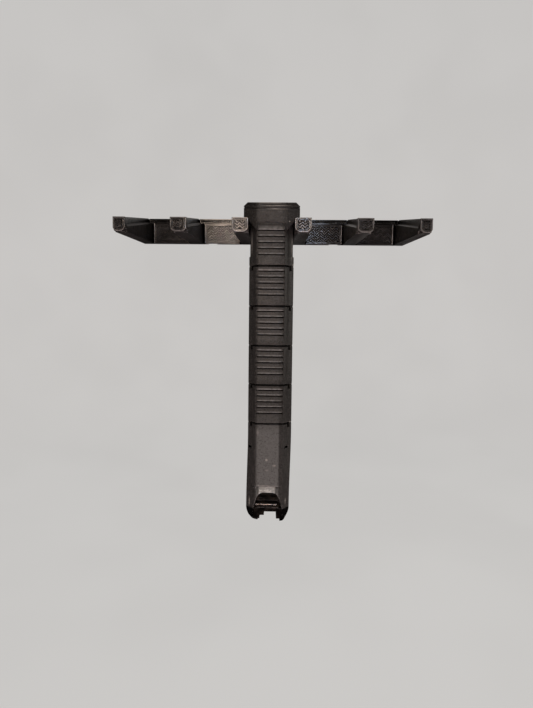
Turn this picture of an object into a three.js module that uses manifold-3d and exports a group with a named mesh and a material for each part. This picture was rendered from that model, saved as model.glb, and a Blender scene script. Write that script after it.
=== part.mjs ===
// A wall rack for a slotted steel board, with five open bays, and the solid display block that hangs in
// the middle bay. Millimetres, +Z up, front = -Y. The origin is the middle of the rail's back face,
// which lies flat on the board.

import * as THREE from 'three';
import { mergeVertices } from 'three/addons/utils/BufferGeometryUtils.js';
import Module from 'manifold-3d';

const wasm = await Module();
wasm.setup();

// Fit
const GAP = 0.3;                    // clearance between neighbouring pieces

// Arms
const ARM_COUNT = 6;
const ARM_PITCH = 34.7;             // centre to centre
const ARM_HALF = 4.2;               // half width of the lower, wider zone and of the tab
const WEB_HALF = 1.2;               // half width of the upright web
const END_HALF = 2.6;               // half width of an end arm on its outer side
const SLOPE = 0.2;                  // drop per mm of reach, of the ledges and of the hung block's base
const LEDGE_ROOT = 5.2;             // ledge height where it meets the rail's front
const LEDGE_BEVEL = 0.75;           // rise of the ledge from its edge to the web
const ARM_REACH = 68;               // front of the tabs from the board
const TAB_DEPTH = 5;
const TAB_WIDER = 0.8;              // a middle tab reaches this much further towards the rack's end
const TAB_TOP = -1.8;
const TAB_BOTTOM = -9.7;
const TAB_CHAMFER = [2.1, 1.5];     // across and up
const END_CHAMFER = [0.8, 2.0];     // the end arms' outer lower corner

// Rail
const RAIL_TOP = 8.5;
const RAIL_BOTTOM = -8.1;
const RAIL_DEPTH = 5;
const STRIP_DEPTH = 4;              // the strip above the ledge line stands back by 1 mm
const GROOVE_FLOOR = 2.4;           // board to the bottom of the grooves that the arms stand in
const GROOVE_LOW_HALF = 5.5;
const GROOVE_HIGH_HALF = 1.9;
const TENON_HALF = 2.6;
const TENON_END = 0.4;              // the same on an end arm's outer side
const TENON_HALF_HEIGHT = 4;
const TENON_Z = -1.6;

// Board hooks
const HOOK_X = 41.5;                // half the pitch of two slots of one row in the board
const FOOT_HALF = 4;
const FOOT_BACK = 1.5;
const FOOT_FRONT = 2.9;
const FOOT_TOP = 5;
const NECK_HALF = 2.7;
const HEAD_HALF = 4.6;
const SEAT_Z = -2;                  // underside that sits on the slot's lower edge
const HEAD_DROP = 4.5;              // lip behind the board, below the seat
const BOARD_GAP = 1.8;              // board's thickness and play
const HOOK_BACK = 5;

// Display block: a solid shape for show, with its relief only skin deep
const BLOCK_FRONT = -62.5;
const BLOCK_BACK = -6;
const BLOCK_BOTTOM = -179;
const COLLAR_BOTTOM = -22.5;        // the body is a little slimmer between the arms
const BODY_HALF = 12.95;
const COLLAR_HALF = 12.4;
const SPINE_HALF = 8;               // raised flat down the middle of the front
const SPINE_DEPTH = 3.5;
const SPINE_FALL = 1.8;             // its edges slope back this much before the step
const SHOULDER_HALF = 10.6;
const SHOULDER_FALL = 1.6;
const CAP_HALF = 16;
const CAP_TOP = 7.5;
const CAP_BOTTOM = 4.7;
const CAP_CORNER = [2.2, 2.1];      // across and down
const FLARE_EDGE = -0.9;            // where the flare starts to draw in below the cap
const FLARE_CURVE = [11.6, -4.2];
const FLARE_FOOT = [8.6, -8.3];
const SKIRT_FRONT = -54;
const BAND_COUNT = 5;               // ribbed bands down the front
const BAND_PITCH = 23;
const BAND_START = -5;
const BAND_HALF = 0.45;
const BAND_DEPTH = 0.6;
const POCKET_DROP = 2.1;
const SIDE_PLAIN = 12;              // plain strip at the back of each side
const RIB_COUNT = 5;
const RIB_PITCH = 3.42;
const RIB_OFFSET = 3.0;
const RIB_HALF = 7.9;
const RIB_DEPTH = 0.5;
const END_FLAT = 6.5;               // rounded lower corners: flat half width, bulge and height
const END_FULL = 11.6;
const END_RISE = 6.4;
const ARCH_X = -0.7;
const ARCH_TOP = -161.6;
const ARCH_HALF = 9.4;
const ARCH_DEPTH = 5;
const INSERT_DEPTH = 2.4;
const BAR_FRONT = 1.2;              // pale cross bar on the insert
const BAR_LEFT = -7.5;
const BAR_RIGHT = 4.9;
const BAR_LOW = -169.95;
const BAR_HIGH = -168.65;
const NOTCH = { left: -2.8, right: 4.5, top: -174.1, step: -5.5, stepTop: -176.3, depth: 22 };

const rackPlastic = new THREE.MeshStandardMaterial({ color: 0x17171a, roughness: 0.5, metalness: 0 });
const blockPlastic = new THREE.MeshStandardMaterial({ color: 0x2d2b2b, roughness: 0.65, metalness: 0 });
const insertPlastic = new THREE.MeshStandardMaterial({ color: 0x0d0d0e, roughness: 0.55, metalness: 0 });

// ---- solids ------------------------------------------------------------------------------------------

function toSolid(geometry) {
  const bare = geometry.index ? geometry.toNonIndexed() : geometry.clone();
  bare.deleteAttribute('normal');
  bare.deleteAttribute('uv');
  const merged = mergeVertices(bare, 1e-4);
  return new wasm.Manifold(new wasm.Mesh({
    numProp: 3,
    vertProperties: new Float32Array(merged.attributes.position.array),
    triVerts: new Uint32Array(merged.index.array),
  }));
}

function toGeometry(solid) {
  const mesh = solid.getMesh();
  const geometry = new THREE.BufferGeometry();
  geometry.setAttribute('position', new THREE.BufferAttribute(new Float32Array(mesh.vertProperties), 3));
  geometry.setIndex(new THREE.BufferAttribute(new Uint32Array(mesh.triVerts), 1));
  const flat = geometry.toNonIndexed();
  flat.computeVertexNormals();
  return flat;
}

function union(solids) {
  return solids.reduce((whole, next) => whole.add(next));
}

function cut(solid, tools) {
  return tools.reduce((rest, tool) => rest.subtract(tool), solid);
}

// a box between two corners
function box(x0, x1, y0, y1, z0, z1) {
  const geometry = new THREE.BoxGeometry(x1 - x0, y1 - y0, z1 - z0);
  geometry.translate((x0 + x1) / 2, (y0 + y1) / 2, (z0 + z1) / 2);
  return toSolid(geometry);
}

// an outline in X and Z, carried from y0 back to y1; rise is the climb per mm towards the board
function alongY(outline, y0, y1, rise = 0, from = y0) {
  const settings = { depth: y1 - y0, bevelEnabled: false, curveSegments: 8 };
  const geometry = new THREE.ExtrudeGeometry(outline, settings);
  geometry.rotateX(Math.PI / 2);
  geometry.translate(0, y1, 0);
  const position = geometry.attributes.position;
  for (let i = 0; i < position.count; i += 1) {
    position.setZ(i, position.getZ(i) + rise * (position.getY(i) - from));
  }
  return toSolid(geometry);
}

// an outline in Y and Z, carried across from x0 to x1
function alongX(points, x0, x1) {
  const geometry = new THREE.ExtrudeGeometry(polygon(points), { depth: x1 - x0, bevelEnabled: false });
  geometry.applyMatrix4(new THREE.Matrix4().set(0, 0, 1, x0, 1, 0, 0, 0, 0, 1, 0, 0, 0, 0, 0, 1));
  return toSolid(geometry);
}

// an outline in X and Y, carried up from z0 to z1
function alongZ(points, z0, z1) {
  const geometry = new THREE.ExtrudeGeometry(polygon(points), { depth: z1 - z0, bevelEnabled: false });
  geometry.translate(0, 0, z0);
  return toSolid(geometry);
}

function polygon(points) {
  return new THREE.Shape(points.map(([x, y]) => new THREE.Vector2(x, y)));
}

// the right half of an outline, completed by its mirror image
function mirrored(half) {
  const left = half.filter(([x]) => x > 0).map(([x, y]) => [-x, y]).reverse();
  return [...half, ...left];
}

function piece(name, solid, material) {
  const mesh = new THREE.Mesh(toGeometry(solid), material.clone());
  mesh.name = name;
  return mesh;
}

// ---- rack --------------------------------------------------------------------------------------------

// height of the ledge's edge at a distance from the board
function ledgeZ(reach) {
  return LEDGE_ROOT - SLOPE * (reach - RAIL_DEPTH);
}

const armX = Array.from({ length: ARM_COUNT }, (_, i) => (i - (ARM_COUNT - 1) / 2) * ARM_PITCH);
const railEnd = armX[ARM_COUNT - 1] + END_HALF;

// side is -1 or 1 for the two end arms, which have no ledge outside, and 0 for the others
function arm(x, side) {
  const left = side < 0 ? END_HALF : ARM_HALF;
  const right = side > 0 ? END_HALF : ARM_HALF;
  const webLeft = side < 0 ? END_HALF : WEB_HALF;
  const webRight = side > 0 ? END_HALF : WEB_HALF;
  const root = GROOVE_FLOOR + GAP;
  const tabBack = ARM_REACH - TAB_DEPTH;

  const web = alongX([
    [-root, TAB_BOTTOM + 1.6],
    [-root, RAIL_TOP],
    [-RAIL_DEPTH, RAIL_TOP],
    [-ARM_REACH, TAB_TOP],
    [-ARM_REACH, TAB_BOTTOM + 1.6],
  ], x - webLeft, x + webRight);

  const lower = alongX([
    [-root, RAIL_BOTTOM],
    [-root, LEDGE_ROOT - GAP],
    [-RAIL_DEPTH - GAP, LEDGE_ROOT - GAP],
    [-tabBack, ledgeZ(tabBack)],
    [-tabBack, TAB_BOTTOM],
    [-RAIL_DEPTH, RAIL_BOTTOM],
  ], x - left, x + right);

  const bevelSection = polygon([
    [x - left, ledgeZ(tabBack) - 1],
    [x + right, ledgeZ(tabBack) - 1],
    [x + right, ledgeZ(tabBack)],
    [x + webRight, ledgeZ(tabBack) + LEDGE_BEVEL],
    [x - webLeft, ledgeZ(tabBack) + LEDGE_BEVEL],
    [x - left, ledgeZ(tabBack)],
  ]);
  const bevel = alongY(bevelSection, -tabBack, -RAIL_DEPTH - GAP, SLOPE);

  const chamferLeft = side < 0 ? END_CHAMFER : TAB_CHAMFER;
  const chamferRight = side > 0 ? END_CHAMFER : TAB_CHAMFER;
  const tabLeft = x - left - (side === 0 && x < 0 ? TAB_WIDER : 0);
  const tabRight = x + right + (side === 0 && x > 0 ? TAB_WIDER : 0);
  const tabOutline = polygon([
    [tabLeft, TAB_TOP],
    [tabLeft, TAB_BOTTOM + chamferLeft[1]],
    [tabLeft + chamferLeft[0], TAB_BOTTOM],
    [tabRight - chamferRight[0], TAB_BOTTOM],
    [tabRight, TAB_BOTTOM + chamferRight[1]],
    [tabRight, TAB_TOP],
  ]);
  const tab = alongY(tabOutline, -ARM_REACH, -tabBack);

  const [tenonLeft, tenonRight] = tenonHalves(side);
  const tenon = box(x - tenonLeft, x + tenonRight, -root - 1, -GAP,
    TENON_Z - TENON_HALF_HEIGHT, TENON_Z + TENON_HALF_HEIGHT);
  return union([web, lower, bevel, tab, tenon]);
}

// how far a tenon reaches left and right of its arm's centre; an end arm's stops short of the rail's end
function tenonHalves(side) {
  return [side < 0 ? TENON_END : TENON_HALF, side > 0 ? TENON_END : TENON_HALF];
}

// the stepped groove for one arm, its mortise, and at the ends the corner that the arm fills
function armPocket(x, side) {
  const lowLeft = side < 0 ? END_HALF + 1 : GROOVE_LOW_HALF;
  const lowRight = side > 0 ? END_HALF + 1 : GROOVE_LOW_HALF;
  const highLeft = side < 0 ? END_HALF + 1 : GROOVE_HIGH_HALF;
  const highRight = side > 0 ? END_HALF + 1 : GROOVE_HIGH_HALF;
  const [tenonLeft, tenonRight] = tenonHalves(side);
  return [
    box(x - lowLeft, x + lowRight, -RAIL_DEPTH - 1, -GROOVE_FLOOR, RAIL_BOTTOM - 1, LEDGE_ROOT),
    box(x - highLeft, x + highRight, -RAIL_DEPTH - 1, -GROOVE_FLOOR, LEDGE_ROOT - 1, RAIL_TOP + 1),
    box(x - tenonLeft - GAP, x + tenonRight + GAP, -GROOVE_FLOOR - 1, 1,
      TENON_Z - TENON_HALF_HEIGHT - GAP, TENON_Z + TENON_HALF_HEIGHT + GAP),
  ];
}

// the T-shaped pocket in the rail's back that a hook's foot slides up into
function hookPocket(x) {
  const top = FOOT_TOP + GAP;
  const bottom = RAIL_BOTTOM - 1;
  return [
    box(x - NECK_HALF - GAP, x + NECK_HALF + GAP, -FOOT_FRONT, 1, bottom, top),
    box(x - FOOT_HALF - GAP, x + FOOT_HALF + GAP, -FOOT_FRONT - GAP, -FOOT_BACK + GAP, bottom, top),
  ];
}

function rail() {
  const back = box(-railEnd, railEnd, -STRIP_DEPTH, 0, RAIL_BOTTOM, RAIL_TOP);
  const front = box(-railEnd, railEnd, -RAIL_DEPTH, -STRIP_DEPTH + 1, RAIL_BOTTOM, LEDGE_ROOT);
  const pockets = armX.flatMap((x, i) => armPocket(x, endSide(i)));
  return cut(back.add(front), [...pockets, ...hookPocket(-HOOK_X), ...hookPocket(HOOK_X)]);
}

function endSide(index) {
  if (index === 0) return -1;
  return index === ARM_COUNT - 1 ? 1 : 0;
}

// one board hook: foot in the rail, neck, and a head that drops behind the board
function boardHook(x) {
  const foot = box(x - FOOT_HALF, x + FOOT_HALF, -FOOT_FRONT, -FOOT_BACK, SEAT_Z, FOOT_TOP);
  const neck = box(x - NECK_HALF, x + NECK_HALF, -FOOT_BACK - 1, GAP + 1, SEAT_Z, FOOT_TOP);
  const collar = box(x - HEAD_HALF, x + HEAD_HALF, GAP, BOARD_GAP + 1, SEAT_Z, FOOT_TOP - 1.5);
  const head = alongX([
    [BOARD_GAP, FOOT_TOP - 1.5],
    [HOOK_BACK, FOOT_TOP - 1.5],
    [HOOK_BACK, SEAT_Z - HEAD_DROP + 2],
    [HOOK_BACK - 1.2, SEAT_Z - HEAD_DROP],
    [BOARD_GAP + 0.6, SEAT_Z - HEAD_DROP],
    [BOARD_GAP, SEAT_Z - HEAD_DROP + 1.5],
  ], x - HEAD_HALF, x + HEAD_HALF);
  return union([foot, neck, collar, head]);
}

// ---- display block -----------------------------------------------------------------------------------

// plan of the body: a raised flat down the front, a shoulder each side, plain sides and a chamfered back
function bodyPlan(half) {
  return mirrored([
    [0, BLOCK_FRONT],
    [SPINE_HALF, BLOCK_FRONT],
    [SHOULDER_HALF - 0.8, BLOCK_FRONT + SPINE_FALL],
    [SHOULDER_HALF, BLOCK_FRONT + SPINE_DEPTH],
    [half, BLOCK_FRONT + SPINE_DEPTH + SHOULDER_FALL],
    [half, BLOCK_BACK - 3],
    [half - 3, BLOCK_BACK],
    [0, BLOCK_BACK],
  ]);
}

// front outline of the flared head, from the cap's underside down to the spine
function flareOutline() {
  const shape = new THREE.Shape();
  shape.moveTo(-CAP_HALF, CAP_BOTTOM - GAP);
  shape.lineTo(-CAP_HALF, FLARE_EDGE);
  shape.quadraticCurveTo(-FLARE_CURVE[0], FLARE_CURVE[1], -FLARE_FOOT[0], FLARE_FOOT[1]);
  shape.lineTo(FLARE_FOOT[0], FLARE_FOOT[1]);
  shape.quadraticCurveTo(FLARE_CURVE[0], FLARE_CURVE[1], CAP_HALF, FLARE_EDGE);
  shape.lineTo(CAP_HALF, CAP_BOTTOM - GAP);
  return shape;
}

// the skirts hang over the ledges, parallel to them
function skirtSection(side) {
  const low = ledgeZ(-BLOCK_FRONT) + GAP + 0.05;
  return polygon([
    [side * (COLLAR_HALF - 1), CAP_BOTTOM - GAP],
    [side * (COLLAR_HALF - 1), low],
    [side * (COLLAR_HALF + 0.6), low],
    [side * CAP_HALF, low + LEDGE_BEVEL],
    [side * CAP_HALF, CAP_BOTTOM - GAP],
  ]);
}

function displayBody() {
  const bottom = alongZ(bodyPlan(BODY_HALF), BLOCK_BOTTOM, COLLAR_BOTTOM);
  const neck = alongZ(bodyPlan(COLLAR_HALF), COLLAR_BOTTOM - 1, 8);
  const underCap = alongY(polygon([[-20, CAP_BOTTOM - GAP], [20, CAP_BOTTOM - GAP], [20, 60], [-20, 60]]),
    BLOCK_FRONT - 5, 0, SLOPE, BLOCK_FRONT);
  const flare = alongY(flareOutline(), BLOCK_FRONT, SKIRT_FRONT + 1, SLOPE);
  const skirts = [-1, 1].map((side) => {
    return alongY(skirtSection(side), SKIRT_FRONT, BLOCK_BACK, SLOPE, BLOCK_FRONT);
  });
  const whole = cut(union([bottom, neck]), [underCap]);

  const relief = [...ribGrooves(), ...bandGrooves(), endArch(), ...endNotch(), ...endCorners()];
  return cut(union([whole, flare, ...skirts]), relief);
}

// short grooves across the front, in blocks of five
function ribGrooves() {
  const grooves = [];
  for (let band = 0; band < BAND_COUNT; band += 1) {
    for (let rib = 0; rib < RIB_COUNT; rib += 1) {
      const z = bandZ(band) - RIB_OFFSET - rib * RIB_PITCH;
      grooves.push(box(-RIB_HALF, RIB_HALF, BLOCK_FRONT - 1, BLOCK_FRONT + RIB_DEPTH, z - 0.4, z + 0.4));
    }
  }
  return grooves;
}

// the line below each block runs the full width and round onto the sides, with a small pocket each side
function bandGrooves() {
  const grooves = [];
  for (let band = 1; band <= BAND_COUNT; band += 1) {
    const low = bandZ(band) - BAND_HALF;
    const high = bandZ(band) + BAND_HALF;
    const shoulder = BLOCK_FRONT + SPINE_DEPTH;
    grooves.push(box(-SHOULDER_HALF, SHOULDER_HALF, BLOCK_FRONT - 1, BLOCK_FRONT + BAND_DEPTH, low, high));
    for (const side of [-1, 1]) {
      const across = (from, to) => (side > 0 ? [from, to] : [-to, -from]);
      grooves.push(box(...across(SPINE_HALF, 20), BLOCK_FRONT - 1, shoulder + BAND_DEPTH, low, high));
      grooves.push(box(...across(BODY_HALF - BAND_DEPTH, 20), BLOCK_FRONT,
        BLOCK_BACK - SIDE_PLAIN, low, high));
      grooves.push(box(...across(SHOULDER_HALF - 0.1, SHOULDER_HALF + 1.2), BLOCK_FRONT - 1,
        shoulder + 1.4, low - POCKET_DROP, high));
    }
  }
  return grooves;
}

function bandZ(band) {
  return BAND_START - band * BAND_PITCH;
}

// shallow arched recess at the lower end of the front, which the dark insert fills
function archOutline(margin) {
  const half = ARCH_HALF - margin;
  const top = ARCH_TOP - margin;
  const shape = new THREE.Shape();
  shape.moveTo(ARCH_X - half, BLOCK_BOTTOM - 1);
  shape.lineTo(ARCH_X + half, BLOCK_BOTTOM - 1);
  shape.quadraticCurveTo(ARCH_X + half - 1.2, top, ARCH_X + 3, top);
  shape.lineTo(ARCH_X - 3, top);
  shape.quadraticCurveTo(ARCH_X - half + 1.2, top, ARCH_X - half, BLOCK_BOTTOM - 1);
  return shape;
}

function endArch() {
  return alongY(archOutline(0), BLOCK_FRONT - 1, BLOCK_FRONT + ARCH_DEPTH);
}

function endNotch() {
  const back = BLOCK_FRONT + NOTCH.depth;
  const low = BLOCK_BOTTOM - 1;
  return [
    box(NOTCH.left, NOTCH.right, BLOCK_FRONT - 1, back, low, NOTCH.top),
    box(NOTCH.step, NOTCH.right, BLOCK_FRONT - 1, back, low, NOTCH.stepTop),
  ];
}

// rounded lower corners
function endCorners() {
  return [-1, 1].map((side) => {
    const shape = new THREE.Shape();
    shape.moveTo(side * END_FLAT, BLOCK_BOTTOM);
    shape.quadraticCurveTo(side * END_FULL, BLOCK_BOTTOM + 0.3, side * BODY_HALF, BLOCK_BOTTOM + END_RISE);
    shape.lineTo(side * 16, BLOCK_BOTTOM + END_RISE);
    shape.lineTo(side * 16, BLOCK_BOTTOM - 2);
    shape.lineTo(side * END_FLAT, BLOCK_BOTTOM - 2);
    return alongY(shape, BLOCK_FRONT - 1, BLOCK_BACK + 1);
  });
}

function displayCap() {
  const outline = polygon(mirrored([
    [0, CAP_TOP],
    [CAP_HALF - CAP_CORNER[0], CAP_TOP],
    [CAP_HALF, CAP_TOP - CAP_CORNER[1]],
    [CAP_HALF, CAP_BOTTOM],
    [0, CAP_BOTTOM],
  ].reverse()));
  return alongY(outline, BLOCK_FRONT, BLOCK_BACK, SLOPE);
}

function displayInsert() {
  const plate = alongY(archOutline(GAP), BLOCK_FRONT + INSERT_DEPTH, BLOCK_FRONT + ARCH_DEPTH - GAP);
  const floor = box(-20, 20, BLOCK_FRONT - 1, 0, BLOCK_BOTTOM - 5, BLOCK_BOTTOM + 0.6);
  const bar = box(BAR_LEFT, BAR_RIGHT, BLOCK_FRONT + BAR_FRONT, BLOCK_FRONT + INSERT_DEPTH + GAP,
    BAR_LOW, BAR_HIGH);
  return cut(plate.add(bar), [floor, ...endNotch(), ...endCorners()]);
}

// ---- assembly ----------------------------------------------------------------------------------------

const rack = new THREE.Group();
rack.add(piece('rail', rail(), rackPlastic));
armX.forEach((x, i) => {
  const names = { '-1': 'end_arm_left', 0: `middle_arm_${i}`, 1: 'end_arm_right' };
  rack.add(piece(names[endSide(i)], arm(x, endSide(i)), rackPlastic));
});
rack.add(piece('board_hook_left', boardHook(-HOOK_X), rackPlastic));
rack.add(piece('board_hook_right', boardHook(HOOK_X), rackPlastic));

const block = new THREE.Group();
block.add(piece('display_body', displayBody(), blockPlastic));
block.add(piece('display_cap', displayCap(), blockPlastic));
block.add(piece('display_insert', displayInsert(), insertPlastic));

const assembly = new THREE.Group();
assembly.add(rack, block);

export default assembly;
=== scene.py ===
import math
import random

import bmesh
import bpy
import numpy as np
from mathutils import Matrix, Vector
from mathutils.kdtree import KDTree


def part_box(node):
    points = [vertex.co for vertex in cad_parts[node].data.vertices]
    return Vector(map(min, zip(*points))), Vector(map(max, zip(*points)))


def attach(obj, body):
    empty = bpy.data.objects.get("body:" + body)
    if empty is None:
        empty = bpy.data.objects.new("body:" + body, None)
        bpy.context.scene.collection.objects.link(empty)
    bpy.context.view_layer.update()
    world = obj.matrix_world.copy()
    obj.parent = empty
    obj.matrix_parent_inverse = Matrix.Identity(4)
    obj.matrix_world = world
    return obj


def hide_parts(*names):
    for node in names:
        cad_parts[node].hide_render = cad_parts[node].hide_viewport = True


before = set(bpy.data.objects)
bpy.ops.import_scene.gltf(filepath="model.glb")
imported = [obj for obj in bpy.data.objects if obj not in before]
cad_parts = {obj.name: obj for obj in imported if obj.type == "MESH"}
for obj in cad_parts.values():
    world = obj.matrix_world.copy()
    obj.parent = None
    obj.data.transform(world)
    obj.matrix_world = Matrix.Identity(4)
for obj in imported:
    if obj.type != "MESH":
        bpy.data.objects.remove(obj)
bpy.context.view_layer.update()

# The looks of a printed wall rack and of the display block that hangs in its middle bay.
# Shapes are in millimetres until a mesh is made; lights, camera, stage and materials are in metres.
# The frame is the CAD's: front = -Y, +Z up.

MM = 0.001
WELD = 0.00001                      # metres within which a mesh's points are joined
random.seed(20)


def corners(node):
    """A CAD node's lowest and highest corner in millimetres."""
    low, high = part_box(node)
    return [c / MM for c in low], [c / MM for c in high]


# ---- dimensions -------------------------------------------

RAIL_LOW, RAIL_HIGH = corners("rail")
BLOCK_LOW, BLOCK_HIGH = corners("display_body")
_, CAP_HIGH = corners("display_cap")
ARMS = ["end_arm_left", "middle_arm_1", "middle_arm_2", "middle_arm_3", "middle_arm_4", "end_arm_right"]
ARM_HALF = 4.2
END_HALF = 2.6
ARM_PITCH = (RAIL_HIGH[0] - END_HALF) / 2.5
ARM_X = [(i - 2.5) * ARM_PITCH for i in range(6)]
TAB_WIDER = 0.8
TAB_FRONT = corners("middle_arm_1")[0][1]
TAB_TOP = -1.8
TAB_BOTTOM = -9.7
TAB_INSET = 0.21                    # depth that the printed lines on a tab's front take up
# how pale the printed lines are painted, from left to right: a painted highlight of the front lamps,
# strongest on the second bay and the middle tabs
TAB_HIGHLIGHT = [0.35, 0.40, 1.0, 0.9, 0.42, 0.42]
BAY_HIGHLIGHT = [0.13, 0.90, 0.05, 0.34, 0.13]
PLAIN_BAYS = (0, 2, 4)              # their zigzag lines lie close together
PLAIN_TABS = (0, 1, 4, 5)
BAY_CLOSE, BAY_OPEN = (1.45, 0.86), (1.70, 0.74)  # spacing and width of the zigzag lines
TAB_CLOSE, TAB_OPEN = (1.30, 0.76, 0.6), (1.60, 0.70, 1.0)  # the same, and a share of the tab's painted highlight
LOOP_WIDTH = 0.62

BAY_HALF = ARM_PITCH / 2 - 5.5      # half width of a bay's face between the grooves
BAY_HIGH_HALF = ARM_PITCH / 2 - 1.9  # the same above the ledge line
LEDGE_LINE = 5.2
FACE_Y = RAIL_LOW[1]
STRIP_Y = FACE_Y + 1

SLOPE = 0.2
FLARE_EDGE = -0.9
FLARE_FOOT = (8.6, -8.3)
FLARE_CURVE = (11.6, -4.2)
FRONT = BLOCK_LOW[1]
BACK = BLOCK_HIGH[1]
BOTTOM = BLOCK_LOW[2]
BODY_HALF = 12.95
COLLAR_HALF = 12.4
COLLAR_BOTTOM = -22.5
SPINE_HALF = 8.0
SHOULDER_HALF = 10.6
SHOULDER_Y = FRONT + 3.5
SPINE_FALL = 1.8
SHOULDER_FALL = 1.6
FLANK_RADIUS = 3                    # cut off the block's back corners
CAP_HALF = CAP_HIGH[0]
CAP_TOP = 7.5
CAP_BOTTOM = 4.7
CAP_GAP = 0.3                       # between the cap and the head
HEAD_DEPTH = 9.5
SKIRT_START = 8.5                   # how far behind the front the head's skirts begin
CAP_CHAMFER = (2.2, 2.1)
PANEL_HALF = 8.8                    # flat middle of the head's front; it falls back beyond
FACET_SLOPE = 0.13
BAND_PITCH = 23
BANDS = [-5 - BAND_PITCH * i for i in range(6)]
RIB_PITCH = 3.42
RIB_OFFSET = 3.0
RIB_HALF = 7.9
RIB_X = -0.3
RIBS = [band - RIB_OFFSET - i * RIB_PITCH for band in BANDS[:5] for i in range(5)]
RIB_SET_BACK = 0.42                 # each rib starts this far behind the one above
RIB_GROOVE = 1.1
BAND_GROOVE = 1.3
SHOULDER_GROOVE = 1.0
SIDE_GROOVE = 0.15
POCKET_X = 11.15                    # small hollows under the band grooves' ends
POCKET_LEFT, POCKET_RIGHT = 1.0, 1.4
HEAD_STEP = 0.75                    # how far the spine falls back under the head
END_FLAT = 6.5
END_FULL = 11.6
END_RISE = 6.4
END_SHIFT = 0.8                     # the lower end's flanks stand this much to the left
ARCH_TOP = -161.6
ARCH_DEPTH = 5.0
LIP_Z = -158.2
LIP_LINE = -158.0
LIP_BEVEL = 1.25
ARCH_HALF = 9.4
ARCH_X = -0.7
NOTCHES = [(-2.8, 4.5, -174.1), (-5.5, 4.5, -176.3)]
NOTCH_DEPTH = 22
BAR_LOW, BAR_HIGH = -169.53, -169.07
BAR_TILT_Z = -169.95

# dents in the shoulders: X, Z, turn
DENTS = [(-11.64, -134.8, 0.3), (10.05, -134.4, -0.5)]
DENT_DEPTH = 1.1

# marks painted lighter on the block's front: X, Z, half width, half height, strength. The three on the
# smooth lower front are scuffs; the streaks on the lower flanks and the collar, the lines along the cap's
# and head's top edges and the lip, and the small dots are painted highlights.
HIGHLIGHTS_AND_SCUFFS = [(-1.6, -141.6, 1.2, 1.1, 1.0), (2.9, -145.0, 1.6, 0.9, 0.6), (-1.3, -147.9, 1.4, 0.8, 0.5),
          (-6.9, -125.2, 0.9, 2.4, 0.4), (-11.8, -168.0, 0.4, 4.2, 0.7), (9.85, -167.6, 0.4, 2.6, 0.8),
          (1.4, 5.80, 11.5, 0.42, 1.0), (2.5, 3.95, 9.5, 0.42, 0.8), (0.0, 7.35, 13.5, 0.4, 0.8),
          (-1.3, -157.35, 8.6, 0.4, 0.7), (10.14, -3.0, 0.5, 0.5, 1.0), (12.68, -27.0, 0.5, 0.8, 1.0),
          (12.13, -119.3, 0.6, 0.6, 1.0), (-11.35, -15.3, 0.45, 8.5, 0.5), (11.85, -17.7, 0.45, 11.0, 0.5)]


# ---- camera, light and stage ------------------------------

def area_light(name, place, target, size, radiance, colour, height=None):
    """A soft rectangular light of a given radiance, turned to face its target."""
    height = height or size
    data = bpy.data.lights.new(name, "AREA")
    data.shape = "RECTANGLE"
    data.size = size
    data.size_y = height
    data.energy = radiance * math.pi * size * height
    data.color = colour
    light = bpy.data.objects.new(name, data)
    bpy.context.collection.objects.link(light)
    light.location = place
    light.rotation_euler = (Vector(target) - Vector(place)).to_track_quat("-Z", "Y").to_euler()
    light.visible_camera = False
    return light


def make_camera():
    data = bpy.data.cameras.new("camera")
    data.sensor_width = 36
    data.lens = 25.42
    data.clip_start = 0.01
    camera = bpy.data.objects.new("camera", data)
    bpy.context.collection.objects.link(camera)
    camera.location = (0.00461, -0.35174, -0.05399)
    camera.rotation_euler = [math.radians(a) for a in (85.121, -0.614, 1.397)]
    bpy.context.scene.camera = camera


def make_lights():
    middle = (0, 0, -0.02)
    area_light("key_warm", (-0.086, -0.72, 0.135), middle, 0.09, 14.0, (1.0, 0.78, 0.61), 0.22)
    area_light("key_cool", (0.042, -0.72, 0.135), middle, 0.03, 15.5, (0.72, 0.81, 1.0), 0.22)
    area_light("side_left", (-0.80, -0.25, 0.15), middle, 0.4, 0.4, (1.0, 0.97, 0.90), 0.5)
    area_light("side_right", (0.80, -0.25, 0.15), middle, 0.4, 2.2, (1.0, 0.97, 0.88), 0.5)
    area_light("behind", (0.25, 0.95, 0.25), middle, 0.7, 0.35, (1.0, 0.97, 0.93))
    area_light("low_back", (0.0, -0.10, -0.80), (0, 0, -0.05), 0.9, 6.5, (1.0, 0.82, 0.80), 0.5)
    bpy.context.scene.world = make_world()
    bpy.context.scene.view_settings.view_transform = "Standard"


def make_world():
    """A soft studio surround: pale above, dark below."""
    world = bpy.data.worlds.new("world")
    world.use_nodes = True
    tree = world.node_tree
    coords = tree.nodes.new("ShaderNodeTexCoord")
    split = tree.nodes.new("ShaderNodeSeparateXYZ")
    ramp = tree.nodes.new("ShaderNodeMapRange")
    ramp.interpolation_type = "SMOOTHSTEP"
    for key, value in (("From Min", -0.15), ("From Max", 0.6), ("To Min", 0.03), ("To Max", 0.17)):
        ramp.inputs[key].default_value = value
    background = tree.nodes["Background"]
    background.inputs["Color"].default_value = (1.0, 0.88, 0.84, 1)
    tree.links.new(coords.outputs["Generated"], split.inputs[0])
    tree.links.new(split.outputs["Z"], ramp.inputs["Value"])
    tree.links.new(ramp.outputs["Result"], background.inputs["Strength"])
    return world


# ---- materials --------------------------------------------

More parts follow.
